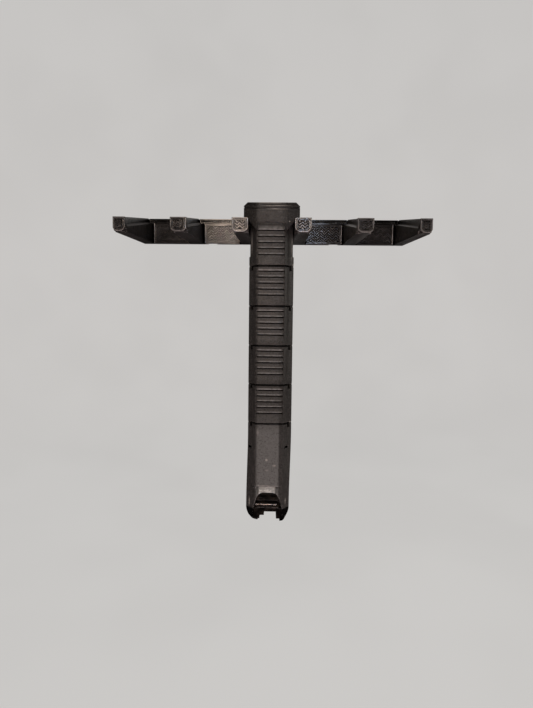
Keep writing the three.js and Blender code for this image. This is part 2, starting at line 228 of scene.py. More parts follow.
class Nodes:
    """Short calls for building a procedural material."""

    def __init__(self, name):
        self.material = bpy.data.materials.new(name)
        self.material.use_nodes = True
        self.tree = self.material.node_tree
        self.shader = self.tree.nodes["Principled BSDF"]
        self.coords = self.new("TexCoord").outputs["Object"]

    def new(self, kind, **settings):
        node = self.tree.nodes.new("ShaderNode" + kind)
        for key, value in settings.items():
            setattr(node, key, value)
        return node

    def feed(self, socket, value):
        if hasattr(value, "is_output"):
            self.tree.links.new(value, socket)
        elif isinstance(value, (tuple, list)) and len(value) == 3 and socket.type == "RGBA":
            socket.default_value = (*value, 1)
        else:
            socket.default_value = value

    def fill(self, node, **values):
        """Feeds several inputs by name, with _ for a space."""
        for key, value in values.items():
            self.feed(node.inputs[key.replace("_", " ")], value)

    def math(self, operation, a, b=0.0):
        node = self.new("Math", operation=operation)
        self.feed(node.inputs[0], a)
        self.feed(node.inputs[1], b)
        return node.outputs[0]

    def times(self, a, b):
        return self.math("MULTIPLY", a, b)

    def line(self, value, slope, start):
        """slope times the value, plus start."""
        return self.math("ADD", self.times(value, slope), start)

    def rest(self, value, whole=1.0):
        """What the value leaves of the whole."""
        return self.math("SUBTRACT", whole, value)

    def scaled(self, scale):
        node = self.new("VectorMath", operation="MULTIPLY")
        self.feed(node.inputs[0], self.coords)
        self.feed(node.inputs[1], scale)
        return node.outputs[0]

    def noise(self, scale, detail=3.0, rough=0.55, stretch=None):
        node = self.new("TexNoise")
        place = self.scaled(stretch) if stretch else self.coords
        self.fill(node, Vector=place, Scale=scale, Detail=detail, Roughness=rough)
        return node.outputs["Fac"]

    def ramp(self, value, low, high, start=0.0, end=1.0):
        node = self.new("MapRange", interpolation_type="SMOOTHSTEP")
        self.fill(node, Value=value, From_Min=low, From_Max=high, To_Min=start, To_Max=end)
        return node.outputs["Result"]

    def mix(self, factor, a, b):
        node = self.new("Mix", data_type="RGBA")
        self.feed(node.inputs[0], factor)
        self.feed(node.inputs[6], a)
        self.feed(node.inputs[7], b)
        return node.outputs[2]

    def axis(self, index):
        node = self.new("SeparateXYZ")
        self.feed(node.inputs[0], self.coords)
        return node.outputs[index]

    def attribute(self, name):
        return self.new("Attribute", attribute_name=name).outputs["Fac"]

    def spot(self, x, z, half_x, half_z, edge=0.5):
        """1 within an oval mark seen from the front, falling to 0 across its edge."""
        dx = self.math("DIVIDE", self.math("SUBTRACT", self.axis(0), x * MM), half_x * MM)
        dz = self.math("DIVIDE", self.math("SUBTRACT", self.axis(2), z * MM), half_z * MM)
        reach = self.math("SQRT", self.math("ADD", self.math("POWER", dx, 2), self.math("POWER", dz, 2)))
        return self.ramp(reach, 1.0, 1.0 - edge)

    def facing(self, index):
        node = self.new("SeparateXYZ")
        self.feed(node.inputs[0], self.new("NewGeometry").outputs["True Normal"])
        return node.outputs[index]

    def pointiness(self):
        return self.new("NewGeometry").outputs["Pointiness"]

    def bump(self, height, strength, distance, normal=None):
        node = self.new("Bump")
        self.fill(node, Strength=strength, Distance=distance, Height=height)
        if normal is not None:
            self.feed(node.inputs["Normal"], normal)
        return node.outputs["Normal"]

    def finish(self, colour, roughness, normal, **others):
        self.fill(self.shader, Base_Color=colour, Roughness=roughness, Normal=normal, **others)
        return self.material


def rack_material(name, layers=True, rough=0.30):
    """Black printed plastic: layers parallel to the board, cloudy tone; pale edges and lines painted as
    highlights, and painted shade towards the wall and between the lines.
    """
    n = Nodes(name)
    cloud = n.noise(90, 3)
    fine = n.noise(1800, 2)
    wave = n.new("TexWave", wave_type="BANDS", bands_direction="Y", wave_profile="SIN")
    n.fill(wave, Vector=n.coords, Scale=620, Distortion=0.8, Detail=2, Detail_Scale=0.4)
    streak = n.noise(60, 3, stretch=(0.6, 22, 0.6))
    tone = n.mix(n.ramp(cloud, 0.35, 0.7), (0.0062, 0.0056, 0.0054), (0.0110, 0.0100, 0.0096))
    tone = n.mix(n.ramp(streak, 0.55, 0.8, 0, 0.35), tone, (0.020, 0.018, 0.017))
    # painted highlight: the pale edges and printed lines; on the rounded edges partly scuffed pale plastic
    pale_highlight = n.times(n.attribute("edge"), n.ramp(n.noise(260, 3), 0.35, 0.6, 0.45, 1.0))
    tone = n.mix(pale_highlight, tone, (0.50, 0.48, 0.465))
    roughness = n.ramp(streak, 0.3, 0.7, rough - 0.05, rough + 0.07)
    roughness = n.math("ADD", roughness, n.ramp(fine, 0.4, 0.7, 0, 0.05))
    normal = n.bump(fine, 0.08, 0.00004)
    if layers:
        normal = n.bump(wave.outputs["Fac"], 0.35, 0.00005, normal)
    normal = n.bump(cloud, 0.10, 0.0003, normal)
    specular = n.ramp(n.math("ABSOLUTE", n.math("ADD", n.axis(0), 0.007)), 0.046, 0.040, 0.3, 1.0)
    if layers:
        # painted shade: faces darken towards the wall, and faces that look to the front, seen only in the
        # gaps between the printed lines, go near black
        wall_shade = n.times(n.ramp(n.axis(1), -0.040, -0.008, 0, 0.85), n.ramp(n.facing(1), 0.9, 0.5))
        under = n.ramp(n.times(n.facing(1), -1), 0.85, 0.97)
        matt = n.math("MAXIMUM", wall_shade, under)
        painted_shade = n.times(matt, n.rest(pale_highlight))
        tone = n.mix(painted_shade, tone, (0.0012, 0.0011, 0.0011))
        specular = n.times(n.rest(matt, 1.05), 0.5)
    return n.finish(tone, roughness, normal, Specular_IOR_Level=specular)


def block_material(name, dark_end=False):
    """Warm dark grey moulded polymer, finely grained, with scuffs; with painted light and shade: lighter in
    the middle of the front and much lighter towards the lower end, darker on the flanks, in creases,
    grooves and dents and near black at the end, and painted highlights on edges and ribs.
    """
    n = Nodes(name)
    cloud = n.noise(70, 4)
    grain = n.noise(2600, 2)
    mottle = n.noise(420, 4, 0.65)
    streak = n.noise(55, 4, stretch=(9, 9, 0.7))
    height = n.axis(2)
    lower = n.ramp(height, -0.112, -0.128)
    base = n.mix(n.ramp(cloud, 0.35, 0.68), (0.033, 0.0305, 0.0290), (0.047, 0.0435, 0.0415))
    across = n.axis(0)
    fore = n.ramp(n.axis(1), -0.0535, -0.0560)
    # painted light: the middle of the front, below the head, is painted lighter, as lit; its sides stay
    # darker
    centre = n.times(n.ramp(across, -0.0089, -0.0066), n.ramp(across, 0.0056, 0.0044))
    centre = n.times(centre, fore)
    lit_centre = n.times(centre, n.ramp(height, -0.003, -0.007, 0, 0.45))
    base = n.mix(lit_centre, base, (0.098, 0.093, 0.090))
    wide = n.times(n.ramp(across, -0.0088, -0.0064), n.ramp(across, 0.0062, 0.0050))
    wide = n.times(wide, fore)
    # painted sheen: the lower part is painted much lighter, most in the middle of the front, for the lamps'
    # reflection
    lower = n.times(lower, n.line(wide, 0.78, 0.10))
    base = n.mix(lower, base, (0.236, 0.240, 0.238))
    # painted light: a lighter patch on the head's front, just right of the middle
    head = n.times(n.spot(1.6, 2.0, 7.6, 6.0, 0.6), n.ramp(height, -0.006, -0.003))
    base = n.mix(n.times(head, 0.35), base, (0.085, 0.081, 0.078))
    # painted shade: the flanks of the front are painted near black, the left more than the right, and more
    # towards the head
    upper = n.ramp(height, -0.011, -0.006)
    left = n.times(n.ramp(across, -0.0067, -0.0097), n.line(upper, 0.42, 0.43))
    right = n.times(n.ramp(across, 0.0045, 0.0085), n.line(upper, 0.10, 0.24))
    flank = n.math("MAXIMUM", left, right)
    base = n.mix(flank, base, (0.004, 0.0035, 0.0034))
    base = n.mix(n.ramp(mottle, 0.50, 0.72, 0, 0.32), base, (0.080, 0.076, 0.073))
    speck = n.noise(1500, 3, 0.6)
    base = n.mix(n.ramp(speck, 0.50, 0.66, 0, 0.40), base, (0.110, 0.105, 0.100))
    base = n.mix(n.ramp(speck, 0.50, 0.36, 0, 0.55), base, (0.008, 0.0075, 0.007))
    base = n.mix(n.ramp(streak, 0.58, 0.8, 0, 0.25), base, (0.070, 0.062, 0.055))
    # painted highlight: sharp convex edges painted lighter
    edge = n.ramp(n.pointiness(), 0.52, 0.62, 0, 0.40)
    base = n.mix(edge, base, (0.12, 0.112, 0.105))
    # painted shade: creases painted near black
    hollow = n.ramp(n.pointiness(), 0.49, 0.42, 0, 0.85)
    base = n.mix(hollow, base, (0.004, 0.0035, 0.0033))
    # painted highlight: the pale zones above the rib grooves and under the head
    pale_highlight = n.times(n.attribute("rib_highlight"), n.ramp(mottle, 0.38, 0.62, 0.45, 1.0))
    base = n.mix(pale_highlight, base, (0.355, 0.355, 0.352))
    # painted shade: the grooves' floors painted near black, without gloss
    sunk = n.attribute("groove")
    base = n.mix(sunk, base, (0.004, 0.0036, 0.0034))
    roughness = n.math("ADD", n.ramp(mottle, 0.35, 0.7, 0.40, 0.55), n.ramp(grain, 0.4, 0.7, 0, 0.06))
    specular = n.times(n.rest(sunk), 0.45)
    dull = n.times(n.line(flank, 0.62, 0.10), upper)
    specular = n.times(specular, n.rest(dull))
    # lighter marks: scuffs, and painted highlights along edges and as small glints
    for x, z, half_x, half_z, strength in HIGHLIGHTS_AND_SCUFFS:
        patchy = n.times(fore, n.ramp(mottle, 0.38, 0.60, 0.4 * strength, strength))
        mark = n.times(n.spot(x, z, half_x, half_z, 0.8), patchy)
        base = n.mix(mark, base, (0.58, 0.55, 0.51))
    if dark_end:
        # the lip above the arch painted near white: a scuffed patch, brightened further as a painted
        # highlight of the lip that faces up
        scrape = n.noise(380, 4, 0.7, stretch=(0.7, 1, 2.2))
        worn_lip_sheen = n.ramp(n.math("ABSOLUTE", n.math("ADD", across, 0.0012)), 0.0052, 0.0042)
        worn_lip_sheen = n.times(worn_lip_sheen, fore)
        between = n.times(n.ramp(height, -0.1581, -0.1585), n.ramp(height, -0.1632, -0.1622))
        worn_lip_sheen = n.times(worn_lip_sheen, between)
        worn_lip_sheen = n.times(worn_lip_sheen, n.ramp(scrape, 0.42, 0.56, 0.48, 1.0))
        base = n.mix(worn_lip_sheen, base, (0.92, 0.92, 0.91))
        # painted shade: the dents are painted near black and lose their gloss
        for x, z, _ in DENTS:
            dent = n.times(fore, n.spot(x, z, 1.1, 0.8, 0.35))
            base = n.mix(dent, base, (0.001, 0.001, 0.001))
            specular = n.times(specular, n.rest(dent, 1.02))
        # painted shade: the end below the arch, around the notch, is painted near black behind a ragged
        # edge, and made glossier
        limit = n.math("ADD", height, n.times(n.math("SUBTRACT", mottle, 0.5), 0.0020))
        black = n.ramp(limit, -0.1712, -0.1722)
        base = n.mix(black, base, (0.0022, 0.0021, 0.0021))
        roughness = n.math("SUBTRACT", roughness, n.times(black, 0.20))
        roughness = n.math("SUBTRACT", roughness, n.times(worn_lip_sheen, 0.12))
        specular = n.times(specular, n.ramp(limit, -0.1722, -0.1712, 0.25, 1.0))
    normal = n.bump(grain, 0.30, 0.00008)
    normal = n.bump(mottle, 0.28, 0.00025, normal)
    normal = n.bump(streak, 0.10, 0.0003, normal)
    return n.finish(base, roughness, normal, Specular_IOR_Level=specular)


def end_shade_material():
    """Nearly black, slightly glossy polymer with brown mottling and fine pale scratches: a dark plate of
    painted shade in the end's opening.
    """
    n = Nodes("insert_plastic")
    cloud = n.noise(300, 4)
    scratch = n.noise(500, 3, stretch=(1, 1, 7))
    tone = n.mix(n.ramp(cloud, 0.45, 0.75), (0.0030, 0.0025, 0.0022), (0.030, 0.022, 0.016))
    tone = n.mix(n.ramp(scratch, 0.66, 0.8, 0, 0.45), tone, (0.08, 0.07, 0.06))
    rough = n.ramp(cloud, 0.3, 0.7, 0.30, 0.48)
    normal = n.bump(scratch, 0.2, 0.0001)
    return n.finish(tone, rough, normal, Specular_IOR_Level=0.12)


def glint_bar_material():
    """Pale, polished cross bar whose pale tone is a painted highlight, with a faint blush and lighter
    patches.
    """
    n = Nodes("painted_glint")
    cloud = n.noise(700, 3)
    tone = n.mix(n.ramp(cloud, 0.35, 0.7), (0.34, 0.27, 0.25), (0.62, 0.57, 0.55))
    rough = n.ramp(cloud, 0.3, 0.7, 0.34, 0.48)
    normal = n.bump(cloud, 0.15, 0.0001)
    return n.finish(tone, rough, normal, Metallic=0.7)


def stage_material():
    """Pale matt studio paper, evenly lit."""
    n = Nodes("stage_paper")
    cloud = n.noise(3, 2)
    fibre = n.noise(900, 2)
    tone = n.mix(n.ramp(cloud, 0.3, 0.7), (0.235, 0.233, 0.228), (0.245, 0.243, 0.238))
    glow = n.mix(n.ramp(cloud, 0.3, 0.7), (0.50, 0.495, 0.485), (0.52, 0.515, 0.505))
    n.fill(n.shader, Emission_Color=glow, Emission_Strength=1.0)
    return n.finish(tone, n.ramp(fibre, 0.3, 0.7, 0.8, 0.9), n.bump(fibre, 0.1, 0.0001))


# ---- mesh helpers -----------------------------------------

def smooth(low, high, value):
    """0 up to low, 1 from high on, and a soft rise between; low may be above high."""
    t = np.clip((value - low) / (high - low), 0, 1)
    return t * t * (3 - 2 * t)


def new_mesh(name, verts, faces):
    """A mesh from millimetre points."""
    mesh = bpy.data.meshes.new(name)
    mesh.from_pydata((np.asarray(verts, float) * MM).tolist(), [], faces)
    return mesh


def turn_out(mesh, weld=False):
    """Turns a mesh's faces outwards, its doubled points joined first if asked."""
    shape = bmesh.new()
    shape.from_mesh(mesh)
    if weld:
        bmesh.ops.remove_doubles(shape, verts=shape.verts, dist=WELD)
    bmesh.ops.recalc_face_normals(shape, faces=shape.faces)
    shape.to_mesh(mesh)
    shape.free()


def add_piece(name, verts, faces, material, body=None, angle=32):
    """A mesh object from millimetre points, riding on its body."""
    mesh = new_mesh(name, verts, faces)
    mesh.validate()
    turn_out(mesh, weld=True)
    return dress(name, mesh, material, body, angle)


def dress(name, mesh, material, body=None, angle=32):
    mesh.materials.clear()
    mesh.materials.append(material)
    mesh.shade_smooth()
    mesh.set_sharp_from_angle(angle=math.radians(angle))
    piece = bpy.data.objects.new(name, mesh)
    bpy.context.collection.objects.link(piece)
    if body:
        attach(piece, body)
    return piece


def fillet(points, radii, count=4):
    """A closed outline with its corners turned into short curves."""
    result = []
    total = len(points)
    for i, (point, radius) in enumerate(zip(points, radii)):
        here = np.array(point, float)
        if radius <= 0:
            result.append(here)
            continue
        before = np.array(points[i - 1], float) - here
        after = np.array(points[(i + 1) % total], float) - here
        reach_in = min(radius, np.linalg.norm(before) * 0.45)
        reach_out = min(radius, np.linalg.norm(after) * 0.45)
        start = here + before / np.linalg.norm(before) * reach_in
        end = here + after / np.linalg.norm(after) * reach_out
        for k in range(count + 1):
            t = k / count
            result.append((1 - t) ** 2 * start + 2 * t * (1 - t) * here + t * t * end)
    return result


def subdivide(points, step):
    """More points along a closed outline; step gives the spacing wanted at a point."""
    result = []
    for i, here in enumerate(points):
        there = points[(i + 1) % len(points)]
        middle = (here + there) / 2
        count = max(1, math.ceil(np.linalg.norm(there - here) / step(middle)))
        result.extend(here + (there - here) * k / count for k in range(count))
    return np.array(result)


def plate(xs, top, bottom, front, back, radius=0.4, rise=0.0, rows=14):
    """A closed solid between two curves over X, with a shaped front and a rounded front edge.

    top and bottom give the height at each x, front gives Y at (x, z), and rise is its climb per mm of Y.
    """
    xs = np.asarray(xs, float)
    tops, bottoms = top(xs), bottom(xs)
    edge = [0.0, 0.05, 0.13, 0.25, 0.42]
    share = np.concatenate([
        np.array(edge),
        np.linspace(0, 1, rows + 2)[1:-1],
        1 - np.array(edge[::-1]),
    ])
    first, last = len(edge), len(edge) + rows
    tall = tops - bottoms
    margin = np.minimum(radius, tall * 0.45)
    z = np.empty((len(share), len(xs)))
    for r, value in enumerate(share):
        if r < first:
            z[r] = bottoms + np.minimum(edge[r] / edge[-1] * radius, tall * 0.45)
        elif r >= last:
            z[r] = tops - np.minimum(edge[len(share) - 1 - r] / edge[-1] * radius, tall * 0.45)
        else:
            z[r] = bottoms + margin + value * (tall - 2 * margin)
    x = np.broadcast_to(xs, z.shape)
    fall_top = np.cos(np.arctan(np.gradient(tops, xs)))
    fall_bottom = np.cos(np.arctan(np.gradient(bottoms, xs)))
    inside = np.minimum.reduce([(tops - z) * fall_top, (z - bottoms) * fall_bottom, x - xs[0], xs[-1] - x])
    inside = np.clip(inside, 0, radius)
    turned = radius - np.sqrt(np.maximum(radius ** 2 - (radius - inside) ** 2, 0))
    y = front(x, z) + turned
    front_points = np.stack([x, y, z + rise * (y - FRONT)], -1).reshape(-1, 3)
    back_y = np.full_like(z, back)
    back_points = np.stack([x, back_y, z + rise * (back_y - FRONT)], -1).reshape(-1, 3)
    verts = np.concatenate([front_points, back_points])
    total, cols = z.shape
    offset = total * cols
    faces = []
    for r in range(total - 1):
        for c in range(cols - 1):
            a, b = r * cols + c, r * cols + c + 1
            d, e = a + cols, b + cols
            faces.append((a, b, e, d))
            faces.append((offset + a, offset + d, offset + e, offset + b))
    ring = list(range(cols))
    ring += [r * cols + cols - 1 for r in range(1, total)]
    ring += [(total - 1) * cols + c for c in range(cols - 2, -1, -1)]
    ring += [r * cols for r in range(total - 2, 0, -1)]
    for i, a in enumerate(ring):
        b = ring[(i + 1) % len(ring)]
        faces.append((a, offset + a, offset + b, b))
    return verts, faces


def join(piece, others):
    """The mesh of closed pieces joined into one; the pieces themselves are removed."""
    for other in others:
        modifier = piece.modifiers.new("join", "BOOLEAN")
        modifier.operation = "UNION"
        modifier.solver = "MANIFOLD"
        modifier.object = other
    bpy.context.view_layer.update()
    graph = bpy.context.evaluated_depsgraph_get()
    mesh = bpy.data.meshes.new_from_object(piece.evaluated_get(graph))
    for other in others:
        bpy.data.objects.remove(other)
    bpy.data.objects.remove(piece)
    return mesh


# ---- rack -------------------------------------------------

BEAD_SECTION = [(-0.5, -0.8), (-0.47, 0.25), (-0.39, 0.78), (-0.2, 0.97), (0.0, 1.0),
                (0.2, 0.97), (0.39, 0.78), (0.47, 0.25), (0.5, -0.8)]


def bead(path, y, width, height, closed=False):
    """One extruded line of plastic lying on a face that looks towards -Y."""
    path = [np.array(p, float) for p in path]
    total = len(path)
    verts, faces = [], []
    for i, here in enumerate(path):
        before = path[i - 1] if closed or i else None
        after = path[(i + 1) % total] if closed or i < total - 1 else None
        sides = []
        if before is not None:
            sides.append((here - before) / np.linalg.norm(here - before))
        if after is not None:
            sides.append((after - here) / np.linalg.norm(after - here))
        along = sum(sides)
        along = along / np.linalg.norm(along)
        across = np.array([-along[1], along[0]])
        stretch = 1.0
        if len(sides) == 2:
            stretch = min(1.6, 1 / max(0.3, abs(float(np.dot(across, [-sides[0][1], sides[0][0]])))))
        for t, out in BEAD_SECTION:
            spot = here + across * t * width * stretch
            verts.append((spot[0], y - out * height, spot[1]))
    size = len(BEAD_SECTION)
    spans = total if closed else total - 1
    for i in range(spans):
        a, b = i * size, ((i + 1) % total) * size
        for k in range(size):
            m = (k + 1) % size
            faces.append((a + k, a + m, b + m, b + k))
    if not closed:
        faces.append(tuple(range(size)))
        faces.append(tuple((total - 1) * size + k for k in range(size - 1, -1, -1)))
    return verts, faces


def gather(parts):
    """One list of points and faces from several."""
    verts, faces = [], []
    for part_verts, part_faces, *_ in parts:
        offset = len(verts)
        verts.extend(part_verts)
        faces.extend(tuple(i + offset for i in face) for face in part_faces)
    return verts, faces


def add_lines(name, parts, material, rise=(0.0, 1.0, 0.0)):
    """The printed lines of one face; each may carry how pale it is painted, as a painted highlight.

    rise gives the face's middle and half width, and the share by which the painted highlight grows to the
    right.
    """
    middle, half, growth = rise
    verts, faces = gather(parts)
    shares = []
    for part_verts, _, *pale_highlight in parts:
        pale = pale_highlight[0] if pale_highlight else 0.0
        shares.extend(pale * (1 + growth * (vert[0] - middle) / half) for vert in part_verts)
    mesh = new_mesh(name, verts, faces)
    mesh.attributes.new("edge", "FLOAT", "POINT").data.foreach_set("value", shares)
    turn_out(mesh)
    return dress(name, mesh, material, "rack", 50)


def shrink(outline, by):
    """An outline of X and Z points moved inwards by a distance."""
    points = [np.array(p, float) for p in outline]
    total = len(points)
    area = sum(points[i - 1][0] * points[i][1] - points[i][0] * points[i - 1][1] for i in range(total))
    turn = 1 if area > 0 else -1
    result = []
    for i, here in enumerate(points):
        one = here - points[i - 1]
        two = points[(i + 1) % total] - here
        one, two = one / np.linalg.norm(one), two / np.linalg.norm(two)
        normal_one = np.array([-one[1], one[0]]) * turn
        normal_two = np.array([-two[1], two[0]]) * turn
        normal = normal_one + normal_two
        normal = normal / max(0.25, float(np.dot(normal, normal_one)))
        result.append(here + normal * by)
    return result


def clip(path, inside):
    """The stretches of a finely divided path that lie inside."""
    pieces, run = [], []
    for point in path:
        if inside(point):
            run.append(point)
            continue
        if len(run) > 2:
            pieces.append(run)
        run = []
    if len(run) > 2:
        pieces.append(run)
    return pieces


def thin(run):
    """Drops the points of a run that lie on a straight stretch."""
    kept = [run[0]]
    for i in range(1, len(run) - 1):
        one = run[i] - kept[-1]
        two = run[i + 1] - run[i]
        if abs(one[0] * two[1] - one[1] * two[0]) > 1e-4 * np.linalg.norm(one) * np.linalg.norm(two) + 1e-9:
            kept.append(run[i])
    kept.append(run[-1])
    return kept


def infill(x0, x1, z0, z1, inside, y, pitch, width, height, leg, phase, pale):
    """Zigzag lines of plastic that fill a face; leg is the run of each slope and pale the strongest painted
    highlight on them.
    """
    parts = []
    step = 0.1
    lines = math.ceil((z1 - z0 + leg) / pitch) + 1
    for k in range(lines):
        start = z0 - leg + k * pitch + phase
        path = []
        x = x0
        while x <= x1 + 1e-6:
            turn = abs(((x - x0 + phase) % (2 * leg)) - leg)
            path.append(np.array([x, start + turn]))
            x += step
        for run in clip(path, inside):
            tall = height * random.uniform(0.75, 1.1)
            line = bead(thin(run), y, width * random.uniform(0.90, 1.05), tall)
            parts.append((*line, pale * random.uniform(0.35, 1.0)))
    return parts


def bay_beads(index, material):
    """The printed face of one bay: outlines along its edges and zigzag infill."""
    centre = (ARM_X[index] + ARM_X[index + 1]) / 2
    low, high = RAIL_LOW[2], LEDGE_LINE
    parts = []
    left, right = centre - BAY_HALF, centre + BAY_HALF
    outline = [(left, low), (right, low), (right, high), (left, high)]
    for inset in (0.38, 1.22):
        loop = bead(shrink(outline, inset), FACE_Y, LOOP_WIDTH, 0.16, closed=True)
        parts.append((*loop, BAY_HIGHLIGHT[index] * 0.4))
    # a pale bead along the bay's outer edge: a painted highlight line
    if index != 2:
        side = -1 if index < 2 else 1
        rim = centre + side * (BAY_HALF - 0.16)
        parts.append((*bead([(rim, low + 0.2), (rim, 0), (rim, high - 0.2)], FACE_Y, 0.5, 0.30), 1.0))
    margin = 1.75
    inside = lambda p: abs(p[0] - centre) < BAY_HALF - margin and low + margin < p[1] < high - margin
    pitch, width = BAY_CLOSE if index in PLAIN_BAYS else BAY_OPEN
    parts += infill(centre - BAY_HALF, centre + BAY_HALF, low, high, inside, FACE_Y,
                    pitch, width, 0.20, 2.6, random.uniform(0, 1), BAY_HIGHLIGHT[index])
    top = RAIL_HIGH[2]
    strip = [(centre - BAY_HIGH_HALF, high + 0.1), (centre + BAY_HIGH_HALF, high + 0.1),
             (centre + BAY_HIGH_HALF, top), (centre - BAY_HIGH_HALF, top)]
    parts.append(bead(shrink(strip, 0.40), STRIP_Y, 0.70, 0.12, closed=True))
    z = high + 1.0
    while z < top - 0.9:
        x = centre - BAY_HIGH_HALF + 1.2
        while x < centre + BAY_HIGH_HALF - 2.0:
            long = random.uniform(1.1, 2.2)
            end = min(x + long, centre + BAY_HIGH_HALF - 1.1)
            dash = bead([(x, z), ((x + end) / 2, z + random.uniform(-0.05, 0.05)), (end, z)],
                        STRIP_Y, 0.50, 0.11 * random.uniform(0.7, 1.1))
            parts.append((*dash, BAY_HIGHLIGHT[index] * random.uniform(0.2, 1.0)))
            x = end + 0.35
        z += 0.85
    # the painted highlight on the second bay grows towards the right
    add_lines(f"bay_face_{index + 1}", parts, material, (centre, BAY_HALF, 0.75 if index == 1 else 0.0))


def tab_outline(index):
    """Outline of an arm's tab in X and Z, from its top left corner down and round."""
    x = ARM_X[index]
    left = END_HALF if index == 0 else ARM_HALF + (TAB_WIDER if index in (1, 2) else 0)
    right = END_HALF if index == 5 else ARM_HALF + (TAB_WIDER if index in (3, 4) else 0)
    cut_left = (0.8, 2.0) if index == 0 else (2.1, 1.5)
    cut_right = (0.8, 2.0) if index == 5 else (2.1, 1.5)
    return [
        (x - left, TAB_TOP),
        (x - left, TAB_BOTTOM + cut_left[1]),
        (x - left + cut_left[0], TAB_BOTTOM),
        (x + right - cut_right[0], TAB_BOTTOM),
        (x + right, TAB_BOTTOM + cut_right[1]),
        (x + right, TAB_TOP),
    ]


def in_outline(outline, point):
    """Whether a point lies inside a closed outline."""
    hit = False
    for i in range(len(outline)):
        (x1, z1), (x2, z2) = outline[i - 1], outline[i]
        if (z1 > point[1]) != (z2 > point[1]) and point[0] < (x2 - x1) * (point[1] - z1) / (z2 - z1) + x1:
            hit = not hit
    return hit


def tab_beads(index, material):
    """The printed front of one tab: two outlines and zigzag infill."""
    outline = tab_outline(index)
    face = TAB_FRONT + TAB_INSET
    parts = []
    for inset, pale in ((0.40, TAB_HIGHLIGHT[index]), (1.20, TAB_HIGHLIGHT[index] * 0.3)):
        loop = fillet(shrink(outline, inset), [0.5, 1.0, 1.0, 1.0, 1.0, 0.5], 3)
        parts.append((*bead(loop, face, LOOP_WIDTH, 0.20, closed=True), pale))
    core = [tuple(p) for p in shrink(outline, 1.8)]
    xs = [p[0] for p in core]
    pitch, width, share = TAB_CLOSE if index in PLAIN_TABS else TAB_OPEN
    parts += infill(min(xs), max(xs), TAB_BOTTOM, TAB_TOP, lambda p: in_outline(core, p), face,
                    pitch, width, 0.185, 1.5, random.uniform(0, 0.8), TAB_HIGHLIGHT[index] * share)
    add_lines(f"tab_face_{index + 1}", parts, material)


def softened(name, width, segments=2, front=None):
    """A copy of a CAD node's mesh with clean flats and rounded edges; front moves its foremost face."""
    shape = bmesh.new()
    shape.from_mesh(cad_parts[name].data)
    bmesh.ops.remove_doubles(shape, verts=shape.verts, dist=0.002 * MM)
    if front is not None:
        for vert in shape.verts:
            if abs(vert.co.y / MM - TAB_FRONT) < 0.01:
                vert.co.y = front * MM
    bmesh.ops.dissolve_limit(shape, angle_limit=math.radians(1.5), verts=shape.verts, edges=shape.edges)
    sharp = [e for e in shape.edges if len(e.link_faces) == 2 and e.calc_face_angle() > math.radians(25)]
    bmesh.ops.bevel(shape, geom=sharp, offset=width * MM, offset_type="OFFSET", segments=segments,
                    profile=0.6, affect="EDGES", clamp_overlap=True)
    bmesh.ops.recalc_face_normals(shape, faces=shape.faces)
    # the bevels' points are painted pale: a painted highlight along the rounded edges, partly scuffed pale
    # plastic
    edge = shape.verts.layers.float.new("edge")
    broad = 1.2 * MM * MM
    for vert in shape.verts:
        vert[edge] = 0.0 if any(face.calc_area() > broad for face in vert.link_faces) else 0.6
    mesh = bpy.data.meshes.new(name + "_soft")
    shape.to_mesh(mesh)
    shape.free()
    return mesh


def make_rack():
    plastic = rack_material("rack_plastic")
    face = rack_material("rack_face_plastic", layers=False, rough=0.15)
    for i, name in enumerate(ARMS):
        mesh = softened(name, 0.42, 3, TAB_FRONT + TAB_INSET)
        piece = dress(f"printed_{name}", mesh, plastic, "rack", 40)
        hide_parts(name)
        tab_beads(i, face)
    piece = dress("printed_rail", softened("rail", 0.30, 3), plastic, "rack", 40)
    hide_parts("rail")
    for i in range(5):
        bay_beads(i, face)
    for name in ("board_hook_left", "board_hook_right"):
        piece = dress(f"printed_{name}", softened(name, 0.4, 3), plastic, "rack", 40)
        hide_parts(name)


# ---- display block ----------------------------------------

def arch_curve(margin=0.0):
    """X and Z along the right half of the arched recess, from the top middle outwards and down."""
    half = ARCH_HALF - margin
    top = ARCH_TOP - margin
    t = np.linspace(0, 1, 40)
    x = (1 - t) ** 2 * 3 + 2 * t * (1 - t) * (half - 1.2) + t * t * half
    z = (1 - t) ** 2 * top + 2 * t * (1 - t) * top + t * t * (BOTTOM - 1)
    return x, z


def arch_inside(x, z):
    """Distance inside the arched recess, positive within."""
    curve_x, curve_z = arch_curve()
    off = np.abs(x - ARCH_X)
    above = np.interp(off, curve_x, curve_z, left=ARCH_TOP) - z
    beside = np.interp(-z, -curve_z, curve_x, left=0) - off
    inside = np.minimum(above, beside)
    return np.where(off > ARCH_HALF, -1, np.where(off < 3, above, inside))


def notch_inside(x, z):
    """Distance inside the end's notch, positive within."""
    depths = [np.minimum.reduce([x - left, right - x, top - z]) for left, right, top in NOTCHES]
    return np.maximum.reduce(depths)


def rib_depth(s):
    """Shingled ribs: each starts set back under the one above and swells out towards its lower edge."""
    depth = np.zeros_like(s)
    for rib in RIBS:
        below = rib - s
        share = np.clip(below / RIB_PITCH, 0, 1)
        ramp = np.where((below > 0) & (below < RIB_PITCH), RIB_SET_BACK * (1 - share ** 1.7), 0)
        groove = RIB_GROOVE * smooth(0.46, 0.30, np.abs(below))
        depth = np.maximum(depth, np.maximum(ramp, groove))
    return depth


